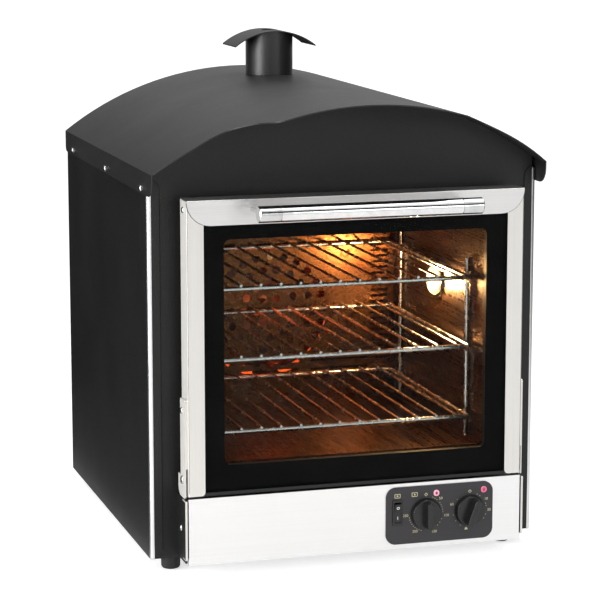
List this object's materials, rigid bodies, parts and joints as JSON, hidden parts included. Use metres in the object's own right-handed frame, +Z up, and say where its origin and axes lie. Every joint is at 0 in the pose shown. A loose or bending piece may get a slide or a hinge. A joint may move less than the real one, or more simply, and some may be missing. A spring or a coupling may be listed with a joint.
{
  "type": "baked potato oven",
  "caption": "Counter-top baked potato oven with an arched roof and visor, chimney, drop-down glass door, wire shelves, fan and a lower control panel with knobs",
  "frame": {"origin": "on the surface it stands on, under the middle of the whole outline, from the visor's tips to the cable gland", "axes": "+X to the right seen from the front, +Y to the back, +Z up; the door faces -Y"},
  "size_m": [0.5078, 0.618, 0.642],
  "materials": {
    "black_powder_coat": "fine textured black powder coat",
    "brushed_stainless": "brushed stainless steel, bright",
    "polished_steel": "polished steel",
    "oven_stainless": "stainless sheet, warm from use",
    "galvanised_sheet": "plain zinc coated sheet",
    "door_glass": "clear toughened glass with a black border",
    "lamp_glass": "clear heat proof glass",
    "black_rubber": "black rubber",
    "seal_silicone": "dark silicone",
    "control_black": "satin black plate with pale print",
    "knob_plastic": "satin black plastic",
    "neon_red": "translucent red lens",
    "shelf_wire": "plated wire",
    "mineral_wool": "mineral wool blanket",
    "fan_aluminium": "plain aluminium",
    "element_sheath": "heated steel sheath",
    "motor_steel": "laminated and painted steel",
    "terminal_plastic": "pale heat proof plastic",
    "screw_steel": "zinc plated screws",
    "shaft_steel": "turned steel"
  },
  "bodies": {
    "casing": {"base_tray": "galvanised_sheet", "feet": "black_rubber", "side_casing_left": "black_powder_coat", "side_casing_right": "black_powder_coat", "front_fascia": "black_powder_coat", "back_panel": "black_powder_coat", "roof_cover": "black_powder_coat", "chimney_tube": "black_powder_coat", "chimney_cap": "black_powder_coat", "steam_flue": "galvanised_sheet", "oven_liner": "oven_stainless", "mouth_frame": "oven_stainless", "insulation_wrap": "mineral_wool", "insulation_rear": "mineral_wool", "oven_cradle": "galvanised_sheet", "fan_motor": "motor_steel", "heating_ring": "element_sheath", "fan_baffle": "oven_stainless", "lamp_cup": "galvanised_sheet", "lamp_bulb": "lamp_glass", "lamp_bezel": "polished_steel", "lamp_glass": "lamp_glass", "shelf_racks": "shelf_wire", "hinge_cheeks": "black_powder_coat", "cheek_trims": "brushed_stainless", "casing_screws": "screw_steel", "control_panel": "brushed_stainless", "control_plate": "control_black", "thermostat_body": "terminal_plastic", "timer_body": "terminal_plastic", "neon_lamps": "neon_red", "switch_body": "knob_plastic", "cable_gland": "knob_plastic", "terminal_block": "terminal_plastic", "safety_cutout": "terminal_plastic", "thermostat_phial": "shaft_steel"},
    "door": {"door_top_rail": "brushed_stainless", "door_bottom_rail": "black_powder_coat", "door_stile_left": "brushed_stainless", "door_stile_right": "brushed_stainless", "door_outer_glass": "door_glass", "door_inner_glass": "door_glass", "door_spacer": "galvanised_sheet", "door_seal": "seal_silicone", "hinge_straps": "brushed_stainless", "hinge_pins": "shaft_steel", "door_screws": "screw_steel", "handle_bar": "polished_steel", "handle_brackets": "polished_steel"},
    "thermostat": {"thermostat_knob": "knob_plastic", "thermostat_shaft": "shaft_steel"},
    "timer": {"timer_knob": "knob_plastic", "timer_shaft": "shaft_steel"},
    "rocker": {"switch_rocker": "knob_plastic"},
    "fan": {"fan_impeller": "fan_aluminium", "fan_shaft": "shaft_steel", "fan_nut": "shaft_steel"},
    "top_shelf": {"shelf_top": "shelf_wire"},
    "middle_shelf": {"shelf_middle": "shelf_wire"},
    "bottom_shelf": {"shelf_bottom": "shelf_wire"}
  },
  "joints": [
    {"name": "door_drop", "type": "hinge", "parent": "casing", "child": "door", "pos_m": [0, -0.228, 0.127], "axis": [1, 0, 0], "range_deg": [0, 90]},
    {"name": "thermostat_turn", "type": "hinge", "parent": "casing", "child": "thermostat", "pos_m": [0.089, -0.251, 0.065], "axis": [0, 1, 0], "range_deg": [0, 270]},
    {"name": "timer_turn", "type": "hinge", "parent": "casing", "child": "timer", "pos_m": [0.147, -0.251, 0.065], "axis": [0, 1, 0], "range_deg": [-20, 270]},
    {"name": "rocker_press", "type": "hinge", "parent": "casing", "child": "rocker", "pos_m": [0.05165, -0.2432, 0.0689], "axis": [-1, 0, 0], "range_deg": [0, 16]},
    {"name": "fan_spin", "type": "hinge", "parent": "casing", "child": "fan", "pos_m": [0, 0.175, 0.257], "axis": [0, 1, 0], "continuous": true},
    {"name": "top_shelf_slide", "type": "slide", "parent": "casing", "child": "top_shelf", "axis": [0, -1, 0], "range_m": [0, 0.035]},
    {"name": "middle_shelf_slide", "type": "slide", "parent": "casing", "child": "middle_shelf", "axis": [0, -1, 0], "range_m": [0, 0.035]},
    {"name": "bottom_shelf_slide", "type": "slide", "parent": "casing", "child": "bottom_shelf", "axis": [0, -1, 0], "range_m": [0, 0.035]}
  ]
}
